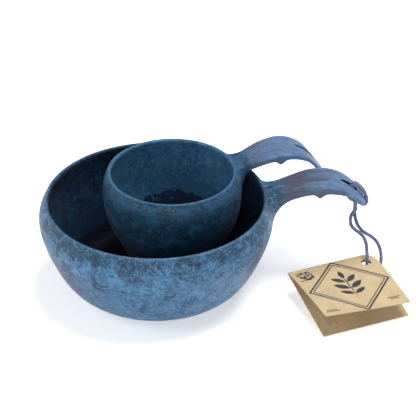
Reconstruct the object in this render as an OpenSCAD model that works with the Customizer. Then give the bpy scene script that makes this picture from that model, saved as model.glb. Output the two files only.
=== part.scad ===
// Nesting bowl and cup of moulded wood fibre, with a cord and a folded hang tag.
// Frame: origin at the middle of the bowl's base, +X along the bowl's handle, +Z up, millimetres.

/* [Bowl] */
// Widest outside diameter of the bowl
bowl_d = 150; // [146:1:156]
// Height of the bowl from base to rim
bowl_h = 61.8; // [60:0.2:63]
// Thickness of the bowl's wall, square to its surface
bowl_wall = 2.8; // [2.4:0.1:3.2]
// Thickness of the bowl's floor
bowl_floor = 5.5; // [4.5:0.1:6]
// Radius of the flat part of the bowl's floor inside
bowl_flat_r = 49; // [47:0.5:50]

/* [Cup] */
// Widest outside diameter of the cup
cup_d = 89.8; // [86:0.2:90]
// Height of the cup from base to rim
cup_h = 64; // [60:0.2:66]
// Thickness of the cup's wall, square to its surface
cup_wall = 2.4; // [2:0.1:2.8]
// Thickness of the cup's floor
cup_floor = 4; // [3:0.1:5]
// Radius of the flat part of the cup's floor inside
cup_flat_r = 20; // [16:0.5:22]
// Distance of the cup's axis from the bowl's axis
cup_offset = 22.8; // [18:0.1:23]
// Direction of the cup's axis, seen from the bowl's axis
cup_side = 56; // [45:0.5:70]
// Direction in which the cup's handle points
cup_turn = 8; // [4:0.5:10]
// Gap left between the cup's base and the bowl's floor
cup_gap = 0.3; // [0.2:0.05:0.5]

/* [Handles] */
// How far the ridge between the finger grooves stands down
ridge_h = 3.7; // [2:0.1:4.2]
// Radius of the slot's narrow end
slot_r1 = 1.6; // [1.2:0.1:2]
// Radius of the slot's wide end
slot_r2 = 3.1; // [2.8:0.1:3.4]

/* [Cord] */
// Diameter of the cord
cord_d = 2.4; // [2:0.1:2.5]

/* [Hang tag] */
// Length of the tag's crease
tag_w = 60; // [56:1:62]
// Length of each leaf from the crease to its free edge
tag_l = 56; // [52:1:58]
// Thickness of the card
card_t = 0.5; // [0.3:0.1:0.6]
// Height of the crease above the table
crease_z = 14.9; // [13:0.1:17]
// Diameter of the hole for the cord
hole_d = 6.4; // [6.2:0.1:7]

/* [Hidden] */

// Outside radius over height, both as shares of the widest radius and of the height.
bowl_outline = [[0, 0.632], [0.06, 0.711], [0.15, 0.789], [0.28, 0.859], [0.42, 0.913],
                [0.58, 0.965], [0.75, 1], [0.88, 0.992], [1, 0.947]];
cup_outline = [[0, 0.597], [0.06, 0.657], [0.15, 0.726], [0.28, 0.808], [0.42, 0.904],
               [0.58, 0.973], [0.75, 1], [0.88, 0.987], [1, 0.927]];
wall_steps = 26;
crease_share = 0.225;   // height at which the dished floor meets the inner wall
blunt_angle = 15;       // where the round of the lip starts and ends

// Handles: distance from the vessel's axis, top height, bottom height, half width.
bowl_handle_rows = [[60, 60.0, 36.0, 13.2], [70, 61.8, 40.5, 11.4], [74, 63.4, 46.0, 10.1],
                    [78, 64.6, 50.8, 9.5], [84, 66.4, 56.0, 9.6], [90, 67.8, 58.9, 10.6],
                    [97, 69.0, 61.2, 12.1], [105, 69.3, 62.2, 13.2], [112, 68.4, 61.9, 13.8],
                    [119, 66.0, 60.4, 13.6], [126, 61.5, 57.0, 12.7], [132, 55.8, 51.8, 11.4],
                    [139, 48.4, 44.8, 10.0]];
cup_handle_rows = [[34, 61.6, 46.8, 11.6], [42, 64.0, 53.0, 9.7], [48, 66.8, 59.0, 9.1],
                   [54, 68.9, 62.2, 10.5], [60, 70.5, 64.6, 11.9], [66, 71.5, 66.0, 12.9],
                   [72, 72.0, 66.7, 13.4], [78, 71.4, 66.2, 13.4], [84, 69.2, 64.4, 12.9],
                   [90, 65.2, 60.8, 12.1], [97, 56.4, 52.2, 11.0], [103, 47.8, 44.2, 10.0],
                   [107, 42.0, 38.8, 9.4]];
bowl_ridge_x = 104.2;
cup_ridge_x = 69.9;
bowl_tip_x = 135.4;
cup_tip_x = 104.6;
tip_round = 6;          // length over which a handle's end rounds off
tip_power = 2.6;        // 2 rounds it as an ellipse, and more leaves it blunter
bowl_slot = [120.8, 127.6];
cup_slot = [84, 92.5];
loop_sides = 24;
square_y = 0.4;         // the lower, the squarer the handle's section in width
square_z = 0.5;         // the same in height

cup_at = [cup_offset * cos(cup_side), cup_offset * sin(cup_side), bowl_floor + cup_gap];

// Cord: half of the hitch round the handle's tip, from the strand below up to the middle of the bight.
strand_y = cord_d / 2 + 0.1;
hitch_half = [[129.7, strand_y, 44.2], [129.7, strand_y, 46.6], [128.6, strand_y, 49.6],
              [127.4, strand_y, 53], [126.8, strand_y, 57], [127.2, strand_y, 60.4],
              [129.2, strand_y, 61.8], [131.6, 1.4, 60], [133.8, 1.6, 57.4], [135.7, 1.8, 54.4],
              [136.8, 2, 51], [136.4, 2.4, 48.4], [134.8, 3, 47.5], [132.6, 3.7, 48.8],
              [130.3, 4, 50.4], [128, 3.9, 51.6], [126.2, 3, 52.2], [125.2, 1.2, 52.4]];
// Cord: from just below the hitch through the tag's hole, round beneath the tag and back up.
loop_route = [[129.7, -strand_y, 43.9], [129.7, -strand_y, 42.9], [128.3, -1.9, 41.6],
              [126.8, -2.7, 39.6], [126, -4, 36.8], [126.4, -5.8, 33.9], [128.5, -7.7, 31.6],
              [131.5, -9.7, 29.8], [133.8, -12, 27.5], [134.8, -14.7, 24.3],
              [134.8, -17.4, 20.8], [134.6, -20, 17.2], [134.3, -21.7, 13.4],
              [134.3, -22.3, 9.4], [135.2, -22.3, 5.6], [138, -21.2, 3.4], [141.4, -19.3, 4.2],
              [144, -17, 7.2], [145, -14.9, 10.8], [145.2, -13, 14.8], [144.4, -11.1, 18.9],
              [142.5, -9.3, 22.6], [139.8, -7.4, 25], [136.6, -5.6, 26.6], [133.7, -3.9, 28.4],
              [131.2, -2.2, 32], [129.9, -0.6, 36.2], [129.7, 0.9, 40],
              [129.7, strand_y, 42.9], [129.7, strand_y, 43.9]];
cord_sides = 8;

// Hang tag: the crease's left end, its direction, and how far each leaf hangs below level.
tag_at = [81.5, -27.7, crease_z];
tag_turn = 15.2;
edge_z = 0.9;           // height of the lower leaf's free edge, as a line straight from the crease's axis
lower_pitch = -asin((crease_z - edge_z) / tag_l);
upper_pitch = -1.2;
upper_twist = 2.8;      // the upper leaf's left side stands up by this, and its right side down
leaf_gap = 0.4;         // each leaf's middle surface lies this far from the crease's axis
hole_at = [tag_w - 8.2, 8.2];
// The corner beside the hole is cut off along this line, given from that corner.
corner_line = [[-9.4, 1], [-3.4, -1.3], [-1.2, -4.2], [0.5, -11]];
past = 3;               // how far the cut-off corner's outline runs past the card
leaf_strips = 12;

// ---------- curves ----------

function unit(v) = v / norm(v);

// Slope of a table's column k at row i: the chord between its neighbours.
function row_slope(t, i, k) =
    let (a = max(i - 1, 0), b = min(i + 1, len(t) - 1)) (t[b][k] - t[a][k]) / (t[b][0] - t[a][0]);

// A smooth curve through a table's rows: cubic Hermite pieces of column k over column 0.
function smooth(t, x, k = 1, i = 0) =
    i < len(t) - 2 && x > t[i + 1][0] ? smooth(t, x, k, i + 1) :
    let (h = t[i + 1][0] - t[i][0], s = (x - t[i][0]) / h,
         m0 = row_slope(t, i, k) * h, m1 = row_slope(t, i + 1, k) * h)
    (2*s^3 - 3*s^2 + 1) * t[i][k] + (s^3 - 2*s^2 + s) * m0
        + (3*s^2 - 2*s^3) * t[i + 1][k] + (s^3 - s^2) * m1;

// A signed power, which squares off the cosine and sine of a round section.
function squared(v, power) = sign(v) * abs(v) ^ power;

// ---------- vessels ----------

function outer_r(outline, d, h, z) = d / 2 * smooth(outline, z / h);
function outer_slope(outline, d, h, z) =
    (outer_r(outline, d, h, z + 0.5) - outer_r(outline, d, h, z - 0.5));
function inner_r(outline, d, h, wall, z) =
    outer_r(outline, d, h, z) - wall * sqrt(1 + outer_slope(outline, d, h, z) ^ 2);

// Half section of a vessel: up the outside, over the round lip, down the wall and in over the floor.
function vessel_section(outline, d, h, wall, floor_t, flat_r) =
    let (lip_z = h - wall / 2,
         lip_out = outer_r(outline, d, h, lip_z),
         lip_in = inner_r(outline, d, h, wall, lip_z),
         lip_r = (lip_out - lip_in) / 2,
         crease = h * crease_share,
         crease_r = inner_r(outline, d, h, wall, crease))
    concat(
        [[0, 0]],
        [for (i = [0 : wall_steps - 1]) let (z = lip_z * i / wall_steps) [outer_r(outline, d, h, z), z]],
        [for (a = [blunt_angle : blunt_angle : 180 - blunt_angle])
            [(lip_out + lip_in) / 2 + lip_r * cos(a), lip_z + wall / 2 * sin(a)]],
        [for (i = [wall_steps : -1 : 1]) let (z = crease + (lip_z - crease) * i / wall_steps)
            [inner_r(outline, d, h, wall, z), z]],
        [for (s = [1 : -0.125 : 0])
            [flat_r + (crease_r - flat_r) * s, floor_t + (crease - floor_t) * s ^ 2]],
        [[0, floor_t]]);

// What the handle's root is trimmed by, so that it ends in the middle of the wall.
function core_section(outline, d, h, wall) =
    concat([[0, -1]],
        [for (i = [0 : wall_steps]) let (z = h * i / wall_steps)
            [outer_r(outline, d, h, z) - wall / 2, z]],
        [[outer_r(outline, d, h, h) - wall / 2, 2 * h], [0, 2 * h]]);

module vessel(outline, d, h, wall, floor_t, flat_r) {
    rotate_extrude($fn = 180)
        polygon(vessel_section(outline, d, h, wall, floor_t, flat_r));
}

// ---------- handles ----------

// How round the end is at x: 1 along the handle, falling to 0 at its tip on a blunt quarter ellipse.
function end_share(x, tip) =
    x < tip - tip_round ? 1 : max(0, 1 - ((x - tip + tip_round) / tip_round) ^ tip_power) ^ (1 / tip_power);

// The ridge between the two finger grooves: a rounded step, steeper on the vessel's side.
function ridge(x, ridge_x) = ridge_h * exp(-((x - ridge_x) / (x < ridge_x ? 2.6 : 3)) ^ 2);

function handle_ring(rows, ridge_x, tip, x) =
    let (share = end_share(x, tip),
         top = smooth(rows, x, 1),
         bottom = smooth(rows, x, 2),
         half_w = smooth(rows, x, 3) * (0.25 + 0.75 * share),
         mid = (top + bottom) / 2,
         half_t = (top - bottom) / 2 * (0.45 + 0.55 * share),
         drop = ridge(x, ridge_x))
    [for (i = [0 : loop_sides - 1]) let (a = 360 * i / loop_sides, s = squared(sin(a), square_z))
        [x, half_w * squared(cos(a), square_y), mid + half_t * s + (s < 0 ? s * drop : 0)]];

// Rings are close together at the ridge and the tip, and wider apart between.
function stations(from, ridge_x, tip) =
    concat([for (x = [from : 3 : ridge_x - 6]) x],
           [for (x = [ridge_x - 4.5 : 1.1 : ridge_x + 5.5]) x],
           [for (x = [ridge_x + 8 : 2.8 : tip - tip_round]) x],
           [for (a = [12 : 13 : 90]) tip - tip_round + tip_round * sin(a)]);

// A closed tube of triangles and end faces over a list of rings with the same number of points.
// The second half of each ring is split along the other diagonal, so that a thin sheet keeps its thickness.
module skin(rings) {
    n = len(rings[0]);
    m = len(rings);
    sides = [for (i = [0 : m - 2]) for (k = [0 : n - 1])
        let (a = i * n + k, b = i * n + (k + 1) % n)
        each 2 * k < n ? [[a, a + n, b], [b, a + n, b + n]] : [[a, a + n, b + n], [a, b + n, b]]];
    polyhedron([for (r = rings) each r],
        concat([[for (k = [0 : n - 1]) k]], sides, [[for (k = [n - 1 : -1 : 0]) (m - 1) * n + k]]),
        convexity = 6);
}

module slot_cut(slot) {
    linear_extrude(100)
        hull() {
            translate([slot[0], 0]) circle(slot_r1, $fn = 32);
            translate([slot[1], 0]) circle(slot_r2, $fn = 32);
        }
}

module handle(rows, ridge_x, tip, slot) {
    difference() {
        skin([for (x = stations(rows[0][0], ridge_x, tip)) handle_ring(rows, ridge_x, tip, x)]);
        slot_cut(slot);
    }
}

module bowl() {
    color("steelblue") {
        vessel(bowl_outline, bowl_d, bowl_h, bowl_wall, bowl_floor, bowl_flat_r);
        difference() {
            handle(bowl_handle_rows, bowl_ridge_x, bowl_tip_x, bowl_slot);
            rotate_extrude($fn = 180) polygon(core_section(bowl_outline, bowl_d, bowl_h, bowl_wall));
        }
    }
}

module cup() {
    color("teal")
        translate(cup_at) {
            vessel(cup_outline, cup_d, cup_h, cup_wall, cup_floor, cup_flat_r);
            rotate(cup_turn)
                difference() {
                    handle(cup_handle_rows, cup_ridge_x, cup_tip_x, cup_slot);
                    rotate_extrude($fn = 180) polygon(core_section(cup_outline, cup_d, cup_h, cup_wall));
                }
        }
}

// ---------- cord ----------

function heading(p, i) = unit(p[min(i + 1, len(p) - 1)] - p[max(i - 1, 0)]);
// Carries one sideways direction along the route without twisting it.
function carried(p, i = 0, found = []) =
    i == len(p) ? found :
    let (t = heading(p, i), last = i == 0 ? [1, 0, 0] : found[i - 1])
    carried(p, i + 1, concat(found, [unit(last - (last * t) * t)]));

module cord(route) {
    side = carried(route);
    skin([for (i = [0 : len(route) - 1]) let (t = heading(route, i), n = side[i], b = cross(t, n))
        [for (k = [0 : cord_sides - 1]) let (a = 360 * k / cord_sides)
            route[i] + cord_d / 2 * (cos(a) * n + sin(a) * b)]]);
}

module cord_hitch() {
    far_half = [for (i = [len(hitch_half) - 1 : -1 : 0]) let (p = hitch_half[i]) [p.x, -p.y, p.z]];
    color("midnightblue") cord(concat(hitch_half, far_half));
}

module cord_loop() {
    color("midnightblue") cord(loop_route);
}

// ---------- hang tag ----------

// A thin leaf that leaves the crease at a pitch, which the twist raises at one end and lowers at the other.
module leaf(pitch, twist, gap) {
    function at(x, y, up) =
        let (p = pitch + twist * (1 - 2 * x / tag_w)) [x, up * sin(p) - y * cos(p), y * sin(p) + up * cos(p)];
    low = gap - card_t / 2;
    high = gap + card_t / 2;
    translate(tag_at)
        rotate(tag_turn)
            difference() {
                skin([for (i = [0 : leaf_strips]) let (x = tag_w * i / leaf_strips)
                    [at(x, 0, high), at(x, tag_l, high), at(x, tag_l, low), at(x, 0, low)]]);
                translate([hole_at.x, -hole_at.y, -tag_l / 2]) cylinder(h = tag_l, d = hole_d, $fn = 48);
                translate([tag_w, 0, -tag_l / 2]) linear_extrude(tag_l)
                    polygon(concat(corner_line, [[past, -11], [past, past], [-9.4, past]]));
            }
}

module tag_lower() {
    color("burlywood") leaf(lower_pitch, 0, -leaf_gap);
}

module tag_upper() {
    color("tan") leaf(upper_pitch, upper_twist, leaf_gap);
}

bowl();
cup();
cord_hitch();
cord_loop();
tag_lower();
tag_upper();
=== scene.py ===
"""Nesting bowl and cup of moulded wood fibre, with a twisted cord and a folded hang tag.

Lengths in this file are millimetres in the frame of the part, +X along the bowl's handle and +Z up,
and become metres where a mesh is made.
"""
import math

import bpy
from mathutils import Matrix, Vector
import numpy as np


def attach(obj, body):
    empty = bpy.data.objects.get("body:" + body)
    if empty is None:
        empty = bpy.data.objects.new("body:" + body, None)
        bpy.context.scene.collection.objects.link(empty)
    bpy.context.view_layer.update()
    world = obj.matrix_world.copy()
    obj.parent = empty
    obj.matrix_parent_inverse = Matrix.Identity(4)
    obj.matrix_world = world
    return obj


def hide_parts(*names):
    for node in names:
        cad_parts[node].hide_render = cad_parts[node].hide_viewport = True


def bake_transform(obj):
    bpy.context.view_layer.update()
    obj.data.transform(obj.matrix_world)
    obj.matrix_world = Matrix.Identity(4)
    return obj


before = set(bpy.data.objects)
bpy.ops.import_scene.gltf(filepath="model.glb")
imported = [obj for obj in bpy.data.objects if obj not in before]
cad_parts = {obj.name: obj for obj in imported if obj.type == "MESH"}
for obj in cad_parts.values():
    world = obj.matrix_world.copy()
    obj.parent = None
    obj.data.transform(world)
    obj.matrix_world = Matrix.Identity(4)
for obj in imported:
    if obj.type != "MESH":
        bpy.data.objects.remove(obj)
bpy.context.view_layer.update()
MM = 0.001


# ---------- camera ----------

def studio_camera():
    """A long lens from in front and above, level, turned a little to the right."""
    data = bpy.data.cameras.new("camera")
    data.sensor_width, data.lens = 36, 207.16
    camera = bpy.data.objects.new("camera", data)
    camera.location = (-0.14802, -1.30025, 0.8769)
    camera.rotation_euler = (math.pi / 2 - 0.562, 0, -0.139626)
    bpy.context.scene.collection.objects.link(camera)
    bpy.context.scene.camera = camera


studio_camera()


# ---------- curves and meshes ----------

def smooth_table(rows, x, column):
    """A table's column as a smooth function of its first column: cubic Hermite pieces whose slope at
    each row is that of the chord between the row's neighbours."""
    t = np.asarray(rows, float)
    at, value = t[:, 0], t[:, column]
    before = np.r_[0, np.arange(len(t) - 1)]
    after = np.r_[np.arange(1, len(t)), len(t) - 1]
    slope = (value[after] - value[before]) / (at[after] - at[before])
    i = np.clip(np.searchsorted(at, x) - 1, 0, len(t) - 2)
    h = at[i + 1] - at[i]
    s = (x - at[i]) / h
    return ((2 * s**3 - 3 * s**2 + 1) * value[i] + (s**3 - 2 * s**2 + s) * h * slope[i] +
            (3 * s**2 - 2 * s**3) * value[i + 1] + (s**3 - s**2) * h * slope[i + 1])


def smooth_step(low, high, x):
    """0 below low, 1 above high, and 3t^2 - 2t^3 between."""
    t = np.clip((x - low) / (high - low), 0, 1)
    return t * t * (3 - 2 * t)


def unit(v):
    """Vectors along the last axis, each over its length."""
    return v / np.maximum(np.linalg.norm(v, axis=-1, keepdims=True), 1e-12)


def even_path(points, step):
    """Points at an even step of arc length along a Catmull-Rom curve through the given points."""
    p = np.asarray(points, float)
    p = np.vstack([2 * p[0] - p[1], p, 2 * p[-1] - p[-2]])
    s = np.linspace(0, 1, 24, endpoint=False)[None, :, None]
    a, b, c, d = (p[k:len(p) - 3 + k, None, :] for k in range(4))
    dense = (b + s * (c - a) / 2 + s**2 * (a - 2.5 * b + 2 * c - d / 2) + s**3 *
            ((d - a) / 2 + 1.5 * (b - c))).reshape(-1, 3)
    dense = np.vstack([dense, p[-2]])
    run = np.r_[0, np.cumsum(np.linalg.norm(np.diff(dense, axis=0), axis=1))]
    at = np.linspace(0, run[-1], max(2, round(run[-1] / step)) + 1)
    return np.stack([np.interp(at, run, dense[:, k]) for k in range(3)], 1)


def grid_quads(ids, close_across=False):
    """Quads over a grid of vertex numbers, (row, column), (row, column + 1), (row + 1, column + 1),
    (row + 1, column), so that they face the side from which columns and then rows turn left."""
    if close_across:
        ids = np.hstack([ids, ids[:, :1]])
    return np.stack([ids[:-1, :-1], ids[:-1, 1:], ids[1:, 1:], ids[1:, :-1]], -1).reshape(-1, 4)


def fan(ring, hub):
    """Triangles from a closed ring of vertex numbers to a hub, as rows of four with the hub twice."""
    return np.stack([ring, np.roll(ring, -1), np.full(len(ring), hub), np.full(len(ring), hub)], -1)


def add_mesh(name, points, quads, materials, sharp_angle=None, marks=None, uv=None, faces_of=None):
    """A mesh object of quads, in metres at the origin. A quad that names its third vertex twice becomes
    a triangle. marks are values at the vertices, uv a pair a vertex, faces_of a material number a face."""
    used, ids = np.unique(quads, return_inverse=True)
    ids = ids.reshape(quads.shape)
    triangle = ids[:, 2] == ids[:, 3]
    sides = np.where(triangle, 3, 4)
    corners = ids[~(np.arange(4)[None, :] >= sides[:, None])]
    mesh = bpy.data.meshes.new(name)
    mesh.vertices.add(len(used))
    mesh.vertices.foreach_set("co", (points[used] * MM).astype(np.float32).ravel())
    mesh.loops.add(len(corners))
    mesh.loops.foreach_set("vertex_index", corners.astype(np.int32))
    mesh.polygons.add(len(ids))
    mesh.polygons.foreach_set("loop_start", np.r_[0, np.cumsum(sides)[:-1]].astype(np.int32))
    mesh.update(calc_edges=True)
    mesh.polygons.foreach_set("use_smooth", np.ones(len(ids), bool))
    for label, values in (marks or {}).items():
        layer = mesh.attributes.new(label, "FLOAT", "POINT")
        layer.data.foreach_set("value", values[used].astype(np.float32))
    if uv is not None:
        layer = mesh.uv_layers.new(name="flat")
        layer.data.foreach_set("uv", uv[used][corners].astype(np.float32).ravel())
    for material in materials:
        mesh.materials.append(material)
    if faces_of is not None:
        mesh.polygons.foreach_set("material_index", faces_of.astype(np.int32))
    if sharp_angle is not None:
        mesh.set_sharp_from_angle(angle=math.radians(sharp_angle))
    mesh.validate()
    piece = bpy.data.objects.new(name, mesh)
    bpy.context.scene.collection.objects.link(piece)
    return piece


# ---------- shader nodes ----------

def tone(red, green, blue):
    """A colour given as it looks on a screen, 0 to 255, turned into the linear values that nodes take."""
    c = np.array([red, green, blue]) / 255
    return (*np.where(c < 0.04045, c / 12.92, ((c + 0.055) / 1.055) ** 2.4).tolist(), 1)


def fill(tree, socket, value):
    """Links a socket to another node's output, or sets it to a value."""
    if isinstance(value, bpy.types.NodeSocket):
        tree.links.new(value, socket)
    else:
        socket.default_value = value


def put(tree, kind, inputs=None, **settings):
    """Places a node, sets its properties, and fills its inputs."""
    n = tree.nodes.new(kind)
    for key, value in settings.items():
        setattr(n, key, value)
    for key, value in (inputs or {}).items():
        fill(tree, n.inputs[key], value)
    return n


def math_of(tree, operation, a, b=0.0, clamp=False):
    return put(tree, "ShaderNodeMath", {0: a, 1: b}, operation=operation, use_clamp=clamp).outputs[0]


def times(tree, a, b):
    return math_of(tree, "MULTIPLY", a, b)


def plus(tree, a, b):
    return math_of(tree, "ADD", a, b)


def minus(tree, a, b, clamp=False):
    return math_of(tree, "SUBTRACT", a, b, clamp)


def vector_of(tree, operation, inputs):
    return put(tree, "ShaderNodeVectorMath", inputs, operation=operation).outputs[0]


def step_of(tree, value, low, high, to_low=0.0, to_high=1.0):
    """Smooth step of a value between low and high."""
    return put(tree, "ShaderNodeMapRange", {"Value": value, "From Min": low, "From Max": high,
            "To Min": to_low, "To Max": to_high}, interpolation_type="SMOOTHSTEP").outputs[0]


def blend_of(tree, share, a, b, kind="MIX"):
    """Colour a where share is 0, colour b where it is 1."""
    n = put(tree, "ShaderNodeMix", data_type="RGBA", blend_type=kind, clamp_factor=True)
    for socket, value in ((n.inputs[0], share), (n.inputs[6], a), (n.inputs[7], b)):
        fill(tree, socket, value)
    return n.outputs[2]


def mark_of(tree, label):
    return put(tree, "ShaderNodeAttribute", attribute_name=label).outputs["Fac"]


def noise_of(tree, vector, scale, detail=4.0, rough=0.55, warp=0.0, output=0):
    return put(tree, "ShaderNodeTexNoise", {"Vector": vector, "Scale": scale, "Detail": detail,
            "Roughness": rough, "Distortion": warp}).outputs[output]


def stretch_of(tree, vector, scale, turn=0.0):
    """A vector turned about Z and scaled by axis, so that a pattern runs long where the scale is small."""
    turned = put(tree, "ShaderNodeVectorRotate", {"Vector": vector, "Angle": turn},
            rotation_type="Z_AXIS").outputs[0]
    return vector_of(tree, "MULTIPLY", {0: turned, 1: scale})


def effect(name, result, **given):
    """A shader node group that gives one value. given names its inputs, with underscores for spaces: None
    for a vector, and a number for a value that starts at it."""
    tree = bpy.data.node_groups.new(name, "ShaderNodeTree")
    for label, value in given.items():
        socket = tree.interface.new_socket(name=label.replace("_", " "), in_out="INPUT",
                socket_type="NodeSocketVector" if value is None else "NodeSocketFloat")
        if value is not None:
            socket.default_value = value
    tree.interface.new_socket(name=result, in_out="OUTPUT", socket_type="NodeSocketFloat")
    return tree, tree.nodes.new("NodeGroupInput").outputs, tree.nodes.new("NodeGroupOutput").inputs


def use(tree, group, output, **inputs):
    """Places an effect in a material and gives one of its outputs. Underscores stand for spaces."""
    n = tree.nodes.new("ShaderNodeGroup")
    n.node_tree = group
    for key, value in inputs.items():
        fill(tree, n.inputs[key.replace("_", " ")], value)
    return n.outputs[output]


def torn_patches():
    """Patches with torn edges: a fine noise pushes the place at which a coarse noise is read, and the
    patch is where the coarse noise is above a level."""
    tree, given, out = effect("torn patches", "Mask", Vector=None, Scale=60.0, Tear=0.01, Level=0.5,
            Edge=0.03)
    push = noise_of(tree, given["Vector"], times(tree, given["Scale"], 2.6), 6, 0.66, output=1)
    push = vector_of(tree, "SUBTRACT", {0: push, 1: (0.5, 0.5, 0.5)})
    push = vector_of(tree, "SCALE", {0: push, "Scale": given["Tear"]})
    place = vector_of(tree, "ADD", {0: given["Vector"], 1: push})
    value = noise_of(tree, place, given["Scale"], 5, 0.6)
    tree.links.new(step_of(tree, value, minus(tree, given["Level"], given["Edge"]),
            plus(tree, given["Level"], given["Edge"])), out["Mask"])
    return tree


def curled_veins():
    """Short curled veins: thin lines where a warped noise crosses one half, kept only where a second,
    coarser noise is high."""
    tree, given, out = effect("curled veins", "Mask", Vector=None, Scale=90.0, Curl=0.8, Width=0.05,
            Amount=0.5)
    value = noise_of(tree, given["Vector"], given["Scale"], 4, 0.62, given["Curl"])
    off = math_of(tree, "ABSOLUTE", minus(tree, value, 0.5))
    line = step_of(tree, off, given["Width"], 0.0)
    where = noise_of(tree, given["Vector"], times(tree, given["Scale"], 0.45), 3, 0.6)
    kept = step_of(tree, where, minus(tree, 1.0, given["Amount"]), minus(tree, 1.12, given["Amount"]))
    tree.links.new(times(tree, line, kept), out["Mask"])
    return tree


def fine_fibres():
    """Fine fibre: noise drawn out along one axis of the vector, plus fine even grain, centred on zero."""
    tree, given, out = effect("fine fibres", "Value", Vector=None, Fineness=900.0, Grain=0.5)
    long = noise_of(tree, given["Vector"], given["Fineness"], 3, 0.6, 0.3)
    grain = noise_of(tree, given["Vector"], times(tree, given["Fineness"], 3.1), 2, 0.5)
    mixed = plus(tree, minus(tree, long, 0.5), times(tree, minus(tree, grain, 0.5), given["Grain"]))
    tree.links.new(mixed, out["Value"])
    return tree


def edge_wear_and_highlight():
    """Wear and painted highlight along an edge: an edge mark, broken up by noise so that it comes and goes.
    """
    tree, given, out = effect("edge wear and highlight", "Mask", Edge=0.0, Vector=None, Scale=120.0, Break=0.6)
    broken = step_of(tree, noise_of(tree, given["Vector"], given["Scale"], 5, 0.65), 0.3, 0.7)
    keep = plus(tree, times(tree, broken, given["Break"]), minus(tree, 1.0, given["Break"]))
    tree.links.new(times(tree, given["Edge"], keep), out["Mask"])
    return tree


def handling_dust():
    """Pale specks of dust: the peaks of a fine cell pattern, thinned out by a coarse noise."""
    tree, given, out = effect("handling dust", "Mask", Vector=None, Scale=700.0, Amount=0.3)
    cell = put(tree, "ShaderNodeTexVoronoi", {"Vector": given["Vector"],
            "Scale": given["Scale"]}).outputs["Distance"]
    speck = step_of(tree, cell, 0.16, 0.06)
    where = step_of(tree, noise_of(tree, given["Vector"], times(tree, given["Scale"], 0.05), 3, 0.6), 0.45,
            0.7)
    tree.links.new(times(tree, times(tree, speck, where), given["Amount"]), out["Mask"])
    return tree


TORN, VEINS, FIBRES = torn_patches(), curled_veins(), fine_fibres()
EDGE_WEAR_AND_HIGHLIGHT, DUST = edge_wear_and_highlight(), handling_dust()


def new_material(name):
    material = bpy.data.materials.new(name)
    material.use_nodes = True
    tree = material.node_tree
    tree.nodes.clear()
    shader = tree.nodes.new("ShaderNodeBsdfPrincipled")
    tree.links.new(shader.outputs[0], tree.nodes.new("ShaderNodeOutputMaterial").inputs[0])
    return material, tree, shader


def bump_of(tree, height, distance, strength=1.0):
    return put(tree, "ShaderNodeBump", {"Height": height, "Distance": distance,
            "Strength": strength}).outputs[0]


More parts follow.
